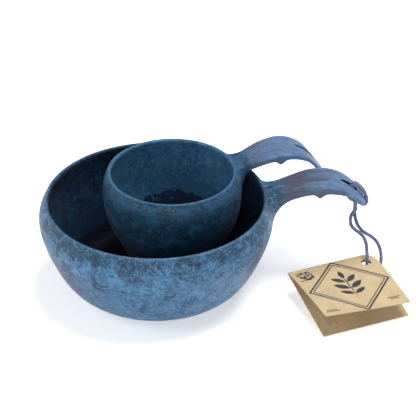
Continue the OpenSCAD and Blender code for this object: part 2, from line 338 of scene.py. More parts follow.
def moulded_fibre(name, look):
    """Moulded wood fibre and resin: two main tones in torn patches, darker curled veins and flecks over
    them, streaks round the vessel or along the handle, a dark band below the rim, and edges rubbed pale,
    which on the lip are a painted highlight. The inside has its own tones, painted shade in the bowl, with
    painted shadow in torn patches low down. look holds the tones and the amounts of one vessel."""
    material, tree, shader = new_material(name)
    place = put(tree, "ShaderNodeTexCoord").outputs["Object"]
    own = vector_of(tree, "ADD", {0: place, 1: tuple(-c * MM for c in look["axis_at"])})
    scale = look["patch_scale"]
    torn = lambda share, tear, level, edge: use(tree, TORN, "Mask", Vector=own, Scale=scale * share,
            Tear=tear, Level=level, Edge=edge)
    curls = lambda share, curl, width, amount: use(tree, VEINS, "Mask", Vector=own, Scale=scale * share,
            Curl=curl, Width=width, Amount=amount)
    over = lambda base, share, finish: blend_of(tree, share, base, look[finish])
    inside, edge, handle, height, along = (mark_of(tree, m) for m in ("inside", "edge", "handle", "height",
            "along"))

    level = plus(tree, look["blue_level"], times(tree, look["rim_band"], step_of(tree, height, 0.80, 0.93)))
    level = plus(tree, level, times(tree, -0.05, step_of(tree, height, 0.45, 0.1)))
    patches = torn(1, 0.011, level, 0.045)
    big = torn(0.33, 0.022, 0.52, 0.06)
    colour = blend_of(tree, big, look["slate"], look["teal"])
    colour = over(colour, patches, "blue")
    marble = noise_of(tree, own, scale * 1.7, 7, 0.74, 1.7)
    colour = over(colour, step_of(tree, marble, 0.5, 0.6, 0, look["marble"]), "pale")
    colour = over(colour, step_of(tree, marble, 0.49, 0.36, 0, look["marble"]), "deep")
    veins = curls(1.5, 1.1, 0.035, look["veins"])
    flecks = torn(5, 0.004, 0.62, 0.03)
    hairs = curls(2.4, 1.6, 0.03, 0.72)
    dark = math_of(tree, "MAXIMUM", times(tree, veins, 0.75), times(tree, flecks, 0.45))
    colour = over(colour, dark, "deep")
    colour = over(colour, times(tree, hairs, look["hairs"]), "pale")

    round_streak = stretch_of(tree, own, (0.16, 0.16, 1.0))
    long_streak = stretch_of(tree, own, (0.09, 1.0, 0.8), look["handle_turn"])
    streak_place = put(tree, "ShaderNodeMix", {0: handle, 4: round_streak, 5: long_streak},
            data_type="VECTOR").outputs[1]
    streaks = use(tree, FIBRES, "Value", Vector=streak_place, Fineness=520.0, Grain=0.4)
    colour = over(colour, step_of(tree, streaks, 0.03, 0.22, 0, 0.5), "slate")
    # grey-violet low down on either side, where the wall lies far out along x
    parts = put(tree, "ShaderNodeSeparateXYZ", {0: own}).outputs
    aside = plus(tree, math_of(tree, "ABSOLUTE", parts[0]), times(tree, 0.03, minus(tree, marble, 0.5)))
    violet_low_sides = times(tree, step_of(tree, aside, *look["violet_low_sides_from"]), step_of(tree, height, 0.75, 0.35))
    colour = over(colour, times(tree, violet_low_sides, 0.75), "violet_low_sides")

    # the handle is grey-violet near the vessel and bluer towards its tip
    ragged = noise_of(tree, long_streak, 150.0, 5, 0.65)
    bluer = step_of(tree, plus(tree, along, times(tree, minus(tree, ragged, 0.5), 1.6)),
            look["handle_blue"][0], look["handle_blue"][1])
    grip = blend_of(tree, bluer, look["grip_grey"], look["grip_blue"])
    grip = over(grip, step_of(tree, streaks, -0.02, 0.2, 0, 0.45), "grip_dark")
    grip = over(grip, times(tree, patches, 0.4), "grip_blue")
    grip = over(grip, step_of(tree, marble, 0.49, 0.36, 0, 0.5), "grip_dark")
    colour = blend_of(tree, handle, colour, grip)

    # the inside has its own tones, painted shade in the bowl, where they are near black; torn dark patches
    # low down are painted shadow
    low = plus(tree, height, times(tree, minus(tree, noise_of(tree, own, scale * 0.8, 6, 0.68), 0.5),
            look["floor_shadow_tear"]))
    inner = blend_of(tree, times(tree, patches, 0.6), look["inner_dark"], look["inner_blue"])
    scuffs = math_of(tree, "MAXIMUM", step_of(tree, marble, 0.48, 0.6, 0, 0.6), times(tree, hairs, 0.8))
    scuffs = times(tree, scuffs, step_of(tree, height, 0.2, 0.8))
    inner = over(inner, scuffs, "inner_pale")
    inner = over(inner, times(tree, dark, 0.7), "inner_deep")
    # painted shadow on the floor: below a torn line low down the inside takes its deepest tone
    inner = over(inner, step_of(tree, low, look["floor_shadow_line"] + 0.015, look["floor_shadow_line"] - 0.015),
            "inner_deep")
    colour = blend_of(tree, inside, colour, inner)

    # on the lip this edge mark is a painted highlight; on the rims of the handle and its slot it is wear
    wear_and_highlight = use(tree, EDGE_WEAR_AND_HIGHLIGHT, "Mask", Edge=edge, Vector=own, Scale=130.0, Break=0.55)
    colour = over(colour, times(tree, wear_and_highlight, 0.75), "wear_and_highlight")
    dust = use(tree, DUST, "Mask", Vector=own, Scale=650.0, Amount=0.25)
    colour = over(colour, dust, "wear_and_highlight")
    tree.links.new(colour, shader.inputs["Base Color"])

    rough = plus(tree, look["rough"], times(tree, streaks, 0.35))
    rough = minus(tree, rough, times(tree, patches, 0.06))
    tree.links.new(rough, shader.inputs["Roughness"])
    relief = plus(tree, times(tree, patches, 0.55), times(tree, dark, -0.9))
    relief = plus(tree, relief, times(tree, streaks, 0.8))
    tree.links.new(bump_of(tree, relief, 0.00011), shader.inputs["Normal"])
    tree.links.new(step_of(tree, inside, 0.0, 1.0, 0.3, 0.14), shader.inputs["Specular IOR Level"])
    shader.inputs["Sheen Weight"].default_value = 0.04
    return material


def twisted_fibre(name):
    """Waxed cotton cord: painted shade between the plies and a painted highlight on their crests, with fibres
    along them.
    """
    material, tree, shader = new_material(name)
    place = put(tree, "ShaderNodeTexCoord").outputs["Object"]
    crest = mark_of(tree, "crest")
    fibres = use(tree, FIBRES, "Value", Vector=place, Fineness=2600.0, Grain=0.7)
    blotch = noise_of(tree, place, 300.0, 4, 0.6)
    # painted shade in the grooves between the plies, painted highlight on their crests
    colour = blend_of(tree, step_of(tree, crest, 0.15, 0.95), tone(46, 52, 82), tone(108, 117, 153))
    colour = blend_of(tree, step_of(tree, blotch, 0.5, 0.7, 0, 0.6), colour, tone(138, 146, 178))
    colour = blend_of(tree, step_of(tree, fibres, 0.0, 0.3, 0, 0.6), colour, tone(60, 66, 98))
    tree.links.new(colour, shader.inputs["Base Color"])
    tree.links.new(step_of(tree, fibres, -0.3, 0.3, 0.6, 0.85), shader.inputs["Roughness"])
    tree.links.new(bump_of(tree, fibres, 0.00012), shader.inputs["Normal"])
    shader.inputs["Sheen Weight"].default_value = 0.25
    shader.inputs["Specular IOR Level"].default_value = 0.3
    return material


# ---------- bowl and cup ----------

BOWL = dict(outline=[[0, .632], [.06, .711], [.15, .789], [.28, .859], [.42, .913], [.58, .965], [.75, 1],
        [.88, .992], [1, .947]], width=150, high=61.8, wall=2.8, floor=5.5, flat_r=49, at=(0, 0, 0), turn=0,
        rows=[[60, 60.0, 36.0, 13.2], [70, 61.8, 40.5, 11.4], [74, 63.4, 46.0, 10.1], [78, 64.6, 50.8, 9.5],
        [84, 66.4, 56.0, 9.6], [90, 67.8, 58.9, 10.6], [97, 69.0, 61.2, 12.1], [105, 69.3, 62.2, 13.2],
        [112, 68.4, 61.9, 13.8], [119, 66.0, 60.4, 13.6], [126, 61.5, 57.0, 12.7], [132, 55.8, 51.8, 11.4],
        [139, 48.4, 44.8, 10.0]], ridge=104.2, tip=135.4, slot=(120.8, 127.6), root=(39.5, 8), neck=81)
CUP_OFFSET, CUP_SIDE = 22.8, math.radians(56)
CUP = dict(outline=[[0, .597], [.06, .657], [.15, .726], [.28, .808], [.42, .904], [.58, .973], [.75, 1],
        [.88, .987], [1, .927]], width=89.8, high=64, wall=2.4, floor=4, flat_r=20,
        at=(CUP_OFFSET * math.cos(CUP_SIDE), CUP_OFFSET * math.sin(CUP_SIDE), 5.8), turn=math.radians(8),
        rows=[[34, 61.6, 46.8, 11.6], [42, 64.0, 53.0, 9.7], [48, 66.8, 59.0, 9.1], [54, 68.9, 62.2, 10.5],
        [60, 70.5, 64.6, 11.9], [66, 71.5, 66.0, 12.9], [72, 72.0, 66.7, 13.4], [78, 71.4, 66.2, 13.4],
        [84, 69.2, 64.4, 12.9], [90, 65.2, 60.8, 12.1], [97, 56.4, 52.2, 11.0], [103, 47.8, 44.2, 10.0],
        [107, 42.0, 38.8, 9.4]], ridge=69.9, tip=104.6, slot=(84, 92.5), root=(46.0, 12), neck=50.5)
RIDGE_HIGH = 3.7
SQUARE_Y, SQUARE_Z = 0.4, 0.5    # the lower, the squarer the handle's section in width and in height
SLOT_R = (1.6, 3.1)
TIP_ROUND = 6
TIP_POWER = 2.8         # 2 rounds the tip as an ellipse, and more leaves it blunter
ROOT_RINGS = 15         # rings of the flared root
ROOT_PULL = 1.1         # how firmly the root leaves along the handle
RIM_SPREAD = 0.45       # how far wear spreads from the handle's edges, as a share of its half height
SOFTEN_REACH, SOFTEN_PASSES = 8, 14
COLUMNS = 240           # round the vessel
CREASE_SHARE = 0.225    # height at which the dished floor meets the inner wall
TOP_SHARE = 0.88        # share of the handle's half width that its flat top and underside take


def vessel_line(v):
    """Half section of a vessel as rows of radius and height: from the middle of the base out to its edge,
    up the outside, over the half-round lip, down the wall one thickness in, and in over the dished floor.
    Also the row numbers of the lowest row of the handle's root and of the lip's crest."""
    high, wall = v["high"], v["wall"]
    outer = lambda z: v["width"] / 2 * smooth_table(v["outline"], z / high, 1)
    inner = lambda z: outer(z) - wall * np.sqrt(1 + (outer(z + 0.5) - outer(z - 0.5)) ** 2)
    lip_z = high - wall / 2
    foot = outer(np.array([0.0]))[0]
    under = np.linspace(0.1, 1, 12)[:-1] * (foot - 1.5)
    base = np.stack([under, 0.7 * (1 - smooth_step(0.72, 0.9, under / foot))], 1)
    edge = np.array([[foot - 0.9, 0.0], [foot - 0.25, 0.06], [foot + 0.15, 0.3]])
    root_low = v["root"][0]
    rise = np.r_[np.linspace(0.9, root_low, 24), np.linspace(root_low, lip_z, 18)[1:-1]]
    side = np.stack([outer(rise), rise], 1)
    middle, half = (outer(lip_z) + inner(lip_z)) / 2, (outer(lip_z) - inner(lip_z)) / 2
    turn = np.radians(np.arange(0, 181, 15))
    lip = np.stack([middle + half * np.cos(turn), lip_z + wall / 2 * np.sin(turn)], 1)
    crease = high * CREASE_SHARE
    fall = np.linspace(lip_z, crease, 34)[1:]
    down = np.stack([inner(fall), fall], 1)
    s = np.linspace(1, 0, 12)[1:]
    dish = np.stack([v["flat_r"] + (down[-1, 0] - v["flat_r"]) * s,
            v["floor"] + (crease - v["floor"]) * s**2], 1)
    flat = np.stack([np.linspace(1, 0.08, 12)[1:] * v["flat_r"], np.full(11, float(v["floor"]))], 1)
    line = np.vstack([base, edge, side, lip, down, dish, flat])
    low_row = len(base) + len(edge) + 23
    crest_row = len(base) + len(edge) + len(side) + 6
    return line, low_row, crest_row


def slot_half(x, slot):
    """Half width of the slot at x: the outline round two circles and the two lines that touch both."""
    (a, b), (ra, rb) = slot, SLOT_R
    lean = (rb - ra) / (b - a)
    xa, xb = a - ra * lean, b - rb * lean
    flank = (ra * math.sqrt(1 - lean**2) * (xb - x) + rb * math.sqrt(1 - lean**2) * (x - xa)) / (xb - xa)
    near = np.sqrt(np.maximum(ra**2 - (x - a) ** 2, 0))
    far = np.sqrt(np.maximum(rb**2 - (x - b) ** 2, 0))
    return np.where(x < xa, near, np.where(x > xb, far, flank))


def ring_places(sides, tops):
    """Where each point of a handle's ring lies, from -1 to 1 across and up: up the +Y side, over the top to
    the -Y side, down it, and back under."""
    cut = (1 - TOP_SHARE ** (2 / SQUARE_Y)) ** (SQUARE_Z / 2)    # height share at the ends of the flat top
    rise = np.linspace(-cut, cut, sides + 1)[:-1]
    over = np.linspace(TOP_SHARE, -TOP_SHARE, tops + 1)[:-1]
    flank = (1 - np.abs(rise) ** (2 / SQUARE_Z)) ** (SQUARE_Y / 2)
    crown = (1 - np.abs(over) ** (2 / SQUARE_Y)) ** (SQUARE_Z / 2)
    across = np.r_[flank, over, -flank, -over]
    up = np.r_[rise, crown, -rise, -crown]
    return across, up


def vessel_with_handle(name, v, material):
    """One closed surface: the vessel's half section turned about its axis, with a patch of the wall left
    out, and the handle's rings carried on from the patch's edge. Between the patch and the neck each point
    runs along a cubic Hermite curve that leaves along the wall and arrives along the handle, which makes
    the flared root."""
    line, low, crest = vessel_line(v)
    reach = v["root"][1]
    angle = 2 * np.pi * np.arange(COLUMNS) / COLUMNS
    spun = np.stack([line[:, :1] * np.cos(angle), line[:, :1] * np.sin(angle),
            np.repeat(line[:, 1:], COLUMNS, 1)], -1)
    rows = len(line)
    ids = np.arange(rows * COLUMNS).reshape(rows, COLUMNS)
    hubs = rows * COLUMNS + np.arange(2)
    hub_points = np.array([[0, 0, 0.7], [0, 0, v["floor"]]], float)

    columns = np.arange(-reach, reach + 1) % COLUMNS
    quads = grid_quads(ids, True).reshape(rows - 1, COLUMNS, 4)
    keep = np.ones((rows - 1, COLUMNS), bool)
    keep[low:crest, columns[:-1]] = False
    quads = np.vstack([quads[keep], fan(ids[0][::-1], hubs[0]), fan(ids[-1], hubs[1])])

    # the patch's edge, turning left seen from outside, and the way into the patch along the wall
    sides, tops = crest - low, 2 * reach
    r_edge = np.r_[np.arange(low, crest), np.full(tops, crest), np.arange(crest, low, -1), np.full(tops, low)]
    c_edge = np.r_[np.full(sides, reach), np.arange(reach, -reach, -1), np.full(sides, -reach),
            np.arange(-reach, reach)]
    ring0 = ids[r_edge, c_edge % COLUMNS]
    start = spun[r_edge, c_edge % COLUMNS]
    middle_row = (low + crest) / 2
    ahead_r = np.clip(r_edge + np.sign(middle_row - r_edge) *
            (np.abs(middle_row - r_edge) > sides / 2 - 1.5), low, crest)
    ahead_c = c_edge - np.sign(c_edge) * (np.abs(c_edge) > reach - 1.5)
    inward = unit(spun[ahead_r.astype(int), ahead_c.astype(int) % COLUMNS] - start)

    across, up = ring_places(sides, tops)
    xa, xb = v["slot"][0] - SLOT_R[0], v["slot"][1] + SLOT_R[1]
    spread = (1 - np.cos(np.pi * np.linspace(0, 1, 31))) / 2
    ridge = v["ridge"]
    stations = np.unique(np.round(np.r_[np.arange(v["neck"], ridge - 7, 1.2),
            np.arange(ridge - 7, ridge + 7, 0.5), np.linspace(ridge + 7, xa, 9), xa + (xb - xa) * spread,
            np.linspace(xb, v["tip"] - TIP_ROUND, 4)[1:] if xb < v["tip"] - TIP_ROUND else [],
            v["tip"] - TIP_ROUND + TIP_ROUND * np.sin(np.linspace(0, np.pi / 2, 14))], 4))
    stations = stations[np.r_[True, np.diff(stations) > 0.02]]

    def rings(x):
        x = np.atleast_1d(x)[:, None]
        s = np.clip((x - v["tip"] + TIP_ROUND) / TIP_ROUND, 0, 1)
        end = (1 - s**TIP_POWER) ** (1 / TIP_POWER)
        top, bottom, half = (smooth_table(v["rows"], x, c) for c in (1, 2, 3))
        half, thick = half * (0.03 + 0.97 * end), (top - bottom) / 2 * (0.30 + 0.70 * end)
        drop = RIDGE_HIGH * np.exp(-((x - ridge) / np.where(x < ridge, 2.6, 3)) ** 2)
        gap = slot_half(x, v["slot"])
        y = half * across
        y = np.sign(y) * (gap + np.abs(y) * (1 - gap / np.maximum(half, gap + 0.01)))
        z = (top + bottom) / 2 + thick * up + np.where(up < 0, up * drop, 0)
        return np.stack([np.broadcast_to(x, y.shape), y, z], -1)

    body = rings(stations)
    lead = (rings(v["neck"] + 0.5) - rings(v["neck"] - 0.5))[0]
    arrive = body[0]
    span = np.linalg.norm(arrive - start, axis=1, keepdims=True)
    t = np.linspace(0, 1, ROOT_RINGS + 2)[1:-1, None, None]
    root = ((2 * t**3 - 3 * t**2 + 1) * start + (t**3 - 2 * t**2 + t) * inward * span +
            (3 * t**2 - 2 * t**3) * arrive + (t**3 - t**2) * unit(lead) * span * ROOT_PULL)
    skin = np.concatenate([root, body])
    count = sides * 2 + tops * 2
    first = hubs[-1] + 1
    skin_ids = first + np.arange(len(skin) * count).reshape(len(skin), count)

    # the slot: the middle column of the top and of the underside is doubled between the slot's ends
    mid_top, mid_under = sides + tops // 2, 2 * sides + tops + tops // 2
    in_slot = np.nonzero((stations > xa + 0.01) & (stations < xb - 0.01))[0] + len(root)
    ends = np.r_[in_slot[0] - 1, in_slot, in_slot[-1] + 1]
    next_id = first + skin.shape[0] * count
    copies = {}
    extra = []
    for column in (mid_top, mid_under):
        points = skin[in_slot, column].copy()
        gap = slot_half(points[:, 0], v["slot"])
        plus = 1 if column == mid_top else -1
        skin[in_slot, column, 1] = plus * gap
        points[:, 1] = -plus * gap
        extra.append(points)
        copies[column] = next_id + np.arange(len(in_slot))
        next_id += len(in_slot)
    left = skin_ids.copy()
    for column in copies:
        left[in_slot, column] = copies[column]
    wide = np.hstack([skin_ids, skin_ids[:, :1]])
    after = np.hstack([left, left[:, :1]])
    tube = np.stack([wide[:-1, :-1], wide[:-1, 1:], wide[1:, 1:], wide[1:, :-1]], -1)
    for column in copies:
        tube[:, column, 0] = after[:-1, column]
        tube[:, column, 3] = after[1:, column]
    tube = tube.reshape(-1, 4)

    # walls of the slot, from the top's edge to the underside's, on either side
    top_plus, top_minus = skin_ids[ends, mid_top], left[ends, mid_top]
    low_minus, low_plus = skin_ids[ends, mid_under], left[ends, mid_under]
    so_far = np.vstack([spun.reshape(-1, 3), hub_points, skin.reshape(-1, 3), *extra])
    shares = (0.12, 0.5, 0.88)
    between = {}
    for side, upper_ids, lower_ids in (("plus", top_plus, low_plus), ("minus", top_minus, low_minus)):
        between[side] = next_id + np.arange(len(shares) * len(ends)).reshape(len(shares), -1)
        extra.append(np.concatenate([(1 - t) * so_far[upper_ids] + t * so_far[lower_ids] for t in shares]))
        next_id += between[side].size
    slot_inner = np.r_[between["plus"].ravel(), between["minus"].ravel()]
    between["minus"][:, [0, -1]] = between["plus"][:, [0, -1]]      # both walls meet at the slot's ends
    walls = np.vstack([grid_quads(np.vstack([top_plus, between["plus"], low_plus]))[:, ::-1],
            grid_quads(np.vstack([top_minus, between["minus"], low_minus]))])

    # the blunt end
    tip_ring = skin_ids[-1]
    tip_hub = next_id
    hub_tip = skin[-1].mean(0, keepdims=True) + [[0.05, 0, 0]]
    joined = np.vstack([ring0[None, :], skin_ids[:1]])
    quads = np.vstack([quads, grid_quads(joined, True), tube, walls, fan(tip_ring, tip_hub)])
    points = np.vstack([spun.reshape(-1, 3), hub_points, skin.reshape(-1, 3), *extra, hub_tip])
    slot_ids = np.r_[skin_ids[ends, mid_top], skin_ids[ends, mid_under], copies[mid_top], copies[mid_under]]

    points = soften_root(points, quads, v, first, ring0)
    marks = vessel_marks(points, v, rows, crest, first, len(skin), up, slot_ids, slot_inner)
    turn, at = v["turn"], np.array(v["at"], float)
    c, s = math.cos(turn), math.sin(turn)
    placed = np.stack([points[:, 0] * c - points[:, 1] * s, points[:, 0] * s + points[:, 1] * c,
            points[:, 2]], 1) + at
    return add_mesh(name, placed, quads, [material], 42, marks)


def soften_root(points, quads, v, first, ring0):
    """Evens out the flared root: points near it move, a few times over, half way to the mean of their
    neighbours, fully at the patch's edge and less further off."""
    edges = np.vstack([quads[:, [0, 1]], quads[:, [1, 2]], quads[:, [2, 3]], quads[:, [3, 0]]])
    edges = edges[edges[:, 0] != edges[:, 1]]
    edges = np.unique(np.sort(edges, 1), axis=0)
    away = np.full(len(points), 99.0)
    away[ring0] = 0
    for _ in range(SOFTEN_REACH + 1):
        for a, b in ((0, 1), (1, 0)):
            np.minimum.at(away, edges[:, a], away[edges[:, b]] + 1)
    share = np.clip(1 - away / SOFTEN_REACH, 0, 1)
    crest = points[:, 2] > v["high"] - 0.35
    share = np.where((np.arange(len(points)) < first) & crest, 0, share)
    degree = np.bincount(edges.ravel(), minlength=len(points))
    for _ in range(SOFTEN_PASSES):
        total = np.zeros_like(points)
        np.add.at(total, edges[:, 0], points[edges[:, 1]])
        np.add.at(total, edges[:, 1], points[edges[:, 0]])
        mean = total / np.maximum(degree, 1)[:, None]
        points = points + 0.5 * share[:, None] * (mean - points)
    return points


def vessel_marks(points, v, rows, crest, first, ring_count, up, slot_ids, slot_inner):
    """Values at the vertices that the finish reads: inside (the inner tones, painted shade in the bowl),
    edge (a painted highlight along the lip, and wear along the rims of the handle and its slot), handle,
    height as a share, and along, the place on the handle from its root (0) to its tip (1)."""
    total = len(points)
    inside, edge, handle, along = (np.zeros(total) for _ in range(4))
    row_of = np.repeat(np.arange(rows), COLUMNS)
    vessel = slice(0, rows * COLUMNS)
    inside[vessel] = np.clip((row_of - crest + 1) / 4, 0, 1)
    inside[rows * COLUMNS + 1] = 1
    # on the lip the edge mark is a painted highlight, just outside the crest
    edge[vessel] = 0.6 * np.exp(-((row_of - crest + 1) / 2.2) ** 2)
    handle_part = slice(first, total)
    x = points[handle_part, 0]
    wall_x = v["width"] / 2
    handle[handle_part] = smooth_step(wall_x + 1.0, v["neck"] + 4, x)
    along[handle_part] = (x - v["neck"]) / (v["tip"] - v["neck"])
    rim = np.tile(np.exp(-((up / RIM_SPREAD) ** 2)), ring_count)
    edge[first:first + len(rim)] = rim * 0.4 * handle[first:first + len(rim)]
    edge[slot_ids] = np.maximum(edge[slot_ids], 0.35)
    # painted shade: the slot's walls take the inside's tones, dark in the bowl
    edge[slot_inner], inside[slot_inner] = 0, 1
    return dict(inside=inside, edge=edge, handle=handle, height=points[:, 2] / v["high"], along=along)


# ---------- cord ----------

CORD_D = 2.4
STRAND_Y = 1.3
PATH_STEP, CORD_SIDES, PLY_DIP = 0.33, 24, 0.16
PLIES, PLY_TURN = 3, 5.2    # strands in the cord, and the length of one full twist
HITCH_HALF = [[129.7, STRAND_Y, 44.2], [129.7, STRAND_Y, 46.6], [128.6, STRAND_Y, 49.6],
        [127.4, STRAND_Y, 53], [126.8, STRAND_Y, 57], [127.2, STRAND_Y, 60.4], [129.2, STRAND_Y, 61.8],
        [131.6, 1.4, 60], [133.8, 1.6, 57.4], [135.7, 1.8, 54.4], [136.8, 2, 51], [136.4, 2.4, 48.4],
        [134.8, 3, 47.5], [132.6, 3.7, 48.8], [130.3, 4, 50.4], [128, 3.9, 51.6], [126.2, 3, 52.2],
        [125.2, 1.2, 52.4]]
LOOP_ROUTE = [[129.7, -STRAND_Y, 43.9], [129.7, -STRAND_Y, 42.9], [128.3, -1.9, 41.6], [126.8, -2.7, 39.6],
        [126, -4, 36.8], [126.4, -5.8, 33.9], [128.5, -7.7, 31.6], [131.5, -9.7, 29.8], [133.8, -12, 27.5],
        [134.8, -14.7, 24.3], [134.8, -17.4, 20.8], [134.6, -20, 17.2], [134.3, -21.7, 13.4],
        [134.3, -22.3, 9.4], [135.2, -22.3, 5.6], [138, -21.2, 3.4], [141.4, -19.3, 4.2], [144, -17, 7.2],
        [145, -14.9, 10.8], [145.2, -13, 14.8], [144.4, -11.1, 18.9], [142.5, -9.3, 22.6],
        [139.8, -7.4, 25], [136.6, -5.6, 26.6], [133.7, -3.9, 28.4], [131.2, -2.2, 32], [129.9, -0.6, 36.2],
        [129.7, 0.9, 40], [129.7, STRAND_Y, 42.9], [129.7, STRAND_Y, 43.9]]


def twisted_cord(name, route, material):
    """A cord carried along a route: its radius dips between the plies, which turn about the centreline
    once in PLY_TURN, so radius = R (1 - 0.16 + 0.16 |cos(1.5 (angle - twist))|)."""
    path = even_path(route, PATH_STEP)
    heading = unit(np.gradient(path, axis=0))
    side = np.zeros_like(path)
    last = np.array([1.0, 0.2, 0.1])
    for i, h in enumerate(heading):     # carries one sideways direction along the route without twisting it
        last = unit(last - h * (last @ h))
        side[i] = last
    other = np.cross(heading, side)
    around = np.linspace(0, 2 * np.pi, CORD_SIDES, endpoint=False)[None, :]
    run = np.arange(len(path))[:, None] * PATH_STEP
    ply = np.abs(np.cos(PLIES / 2 * (around - 2 * np.pi * run / PLY_TURN)))
    radius = CORD_D / 2 * (1 - PLY_DIP + PLY_DIP * ply)
    rings = path[:, None] + radius[..., None] * (np.cos(around)[..., None] * side[:,
            None] + np.sin(around)[..., None] * other[:, None])
    ids = np.arange(rings.shape[0] * CORD_SIDES).reshape(-1, CORD_SIDES)
    hubs = ids.size + np.arange(2)
    quads = np.vstack([grid_quads(ids, True), fan(ids[0][::-1], hubs[0]), fan(ids[-1], hubs[1])])
    points = np.vstack([rings.reshape(-1, 3), path[:1], path[-1:]])
    piece = add_mesh(name, points, quads, [material], 60, dict(crest=np.r_[ply.ravel(), 0.5, 0.5]))
    length = np.linalg.norm(np.diff(path, axis=0), axis=1).sum()
    return piece, path * MM, length * MM


def cords():
    """The hitch round the handle's tip, and the loop that hangs from it through the tag's hole."""
    material = twisted_fibre("waxed_cord")
    far_half = [[x, -y, z] for x, y, z in HITCH_HALF[::-1]]
    hitch, path, length = twisted_cord("hitch", HITCH_HALF + far_half, material)
    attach(hitch, "bowl")
    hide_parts("cord_hitch")
    loop, path, length = twisted_cord("tag_loop", LOOP_ROUTE, material)
    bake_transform(loop)
    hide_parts("cord_loop")


cords()


# ---------- hang tag ----------

TAG_AT, TAG_TURN = (81.5, -27.7, 14.9), math.radians(15.2)
TAG_W, TAG_L, CARD_T, LEAF_GAP = 60, 56, 0.42, 0.4
LOWER_PITCH = -math.asin((14.9 - 0.9) / 56)
UPPER_PITCH, UPPER_TWIST = math.radians(-1.2), math.radians(2.8)
HOLE_AT, HOLE_R = (51.8, 8.2), 3.2
CORNER = [[0, 53.2], [1.3, 56.4], [4.2, 58.9], [9, 60], [56, 60]]


def card_places():
    """A grid over a leaf, as distance along the crease and distance from it: rows shrink to the rounded
    corner, and round the hole the squares open out so that their inner edge lies on the circle."""
    away = np.r_[np.arange(0, 17, 0.8), np.linspace(17, TAG_L, 34)]
    share = np.r_[np.linspace(0, 0.70, 28, endpoint=False), np.linspace(0.70, 1, 24)]
    right = smooth_table(CORNER, away, 1)
    x, y = share[None, :] * right[:, None], np.repeat(away[:, None], len(share), 1)
    dx, dy = x - HOLE_AT[0], y - HOLE_AT[1]
    row = int(np.argmin(np.abs(away - HOLE_AT[1])))
    column = int(np.argmin(np.abs(x[row] - HOLE_AT[0])))
    n = 4
    cut = np.zeros((len(away) - 1, len(share) - 1), bool)
    cut[row - n:row + n, column - n:column + n] = True
    i, j = np.indices(x.shape)
    rings_out = np.maximum(np.abs(i - row), np.abs(j - column)) / n
    fade = np.clip((rings_out - 1) / 1.2, 0, 1)
    far = np.maximum(np.hypot(dx, dy), 1e-6)
    on_circle = HOLE_R * np.maximum(rings_out, 0.1) / far
    mix = (1 - fade) * on_circle + fade
    near = rings_out < 2.2
    x = np.where(near, HOLE_AT[0] + dx * mix, x)
    y = np.where(near, HOLE_AT[1] + dy * mix, y)
    return x, y, cut


def in_tag_frame(x, away, up, pitch):
    """A leaf's point: away from the crease and up from the leaf's own middle surface, tilted by its pitch."""
    local = np.stack([x, up * np.sin(pitch) - away * np.cos(pitch),
            away * np.sin(pitch) + up * np.cos(pitch)], -1)
    c, s = math.cos(TAG_TURN), math.sin(TAG_TURN)
    return np.stack([local[..., 0] * c - local[..., 1] * s, local[..., 0] * s + local[..., 1] * c,
            local[..., 2]], -1) + np.array(TAG_AT)


def card_leaf(name, above, pitch, twist, lift, bow, materials):
    """A leaf of card: a plane tilted from the crease, twisted along it, bowed by bow millimetres half way
    out and by lift at the free edge's corners, with a hole and a rounded corner. Two faces and the
    cut edges between them."""
    x, y, cut = card_places()
    angle = pitch + twist * (1 - 2 * x / TAG_W)
    middle = (LEAF_GAP if above else -LEAF_GAP) + bow * np.sin(np.pi * y / TAG_L) + lift * (y /
            TAG_L) ** 2 * (2 * x / TAG_W - 1) ** 2
    faces = [in_tag_frame(x, y, middle + side * CARD_T / 2, angle) for side in (1, -1)]
    ids = np.arange(x.size).reshape(x.shape)
    top = grid_quads(ids).reshape(*cut.shape, 4)[~cut]
    top = top[:, ::-1]          # rows run towards -Y here, so the upper face turns the other way
    under = top[:, ::-1] + x.size
    edges = np.vstack([top[:, [k, (k + 1) % 4]] for k in range(4)])
    coded = edges[:, 0] * x.size + edges[:, 1]
    open_edges = edges[~np.isin(coded, edges[:, 1] * x.size + edges[:, 0])]
    a, b = open_edges.T
    walls = np.stack([b, a, a + x.size, b + x.size], -1)
    quads = np.vstack([top, under, walls])
    kind = np.r_[np.zeros(len(top)), np.ones(len(under)), np.full(len(walls), 2)]
    uv = np.tile(np.stack([x.ravel() / TAG_W, y.ravel() / TAG_W], 1), (2, 1))
    return add_mesh(name, np.vstack([f.reshape(-1, 3) for f in faces]), quads, materials, 35, uv=uv,
            faces_of=kind)


def card_fold(name, materials):
    """The fold: a half roll about the crease, from the upper leaf's edge round to the lower leaf's."""
    x = np.linspace(0, 53.2, 30)[:, None]
    upper = UPPER_PITCH + UPPER_TWIST * (1 - 2 * x / TAG_W)
    first, last = np.pi / 2 - upper, -np.pi / 2 - LOWER_PITCH
    turn = first + (last - first) * np.linspace(0, 1, 13)[None, :]
    rolls = []
    for radius in (LEAF_GAP + CARD_T / 2, LEAF_GAP - CARD_T / 2):
        rolls.append(in_tag_frame(np.broadcast_to(x, turn.shape), -radius * np.cos(turn),
                radius * np.sin(turn), 0.0))
    ids = np.arange(turn.size).reshape(turn.shape)
    outer = grid_quads(ids)
    inner = outer[:, ::-1] + turn.size
    rim = np.r_[ids[0, :-1], ids[:-1, -1], ids[-1, :0:-1], ids[:0:-1, 0]]
    nxt = np.roll(rim, -1)
    walls = np.stack([nxt, rim, rim + turn.size, nxt + turn.size], -1)
    quads = np.vstack([outer, inner, walls])
    flat = np.stack([np.broadcast_to(x, turn.shape).ravel() / TAG_W, np.zeros(turn.size)], 1)
    return add_mesh(name, np.vstack([r.reshape(-1, 3) for r in rolls]), quads, materials, 35,
            uv=np.tile(flat, (2, 1)))


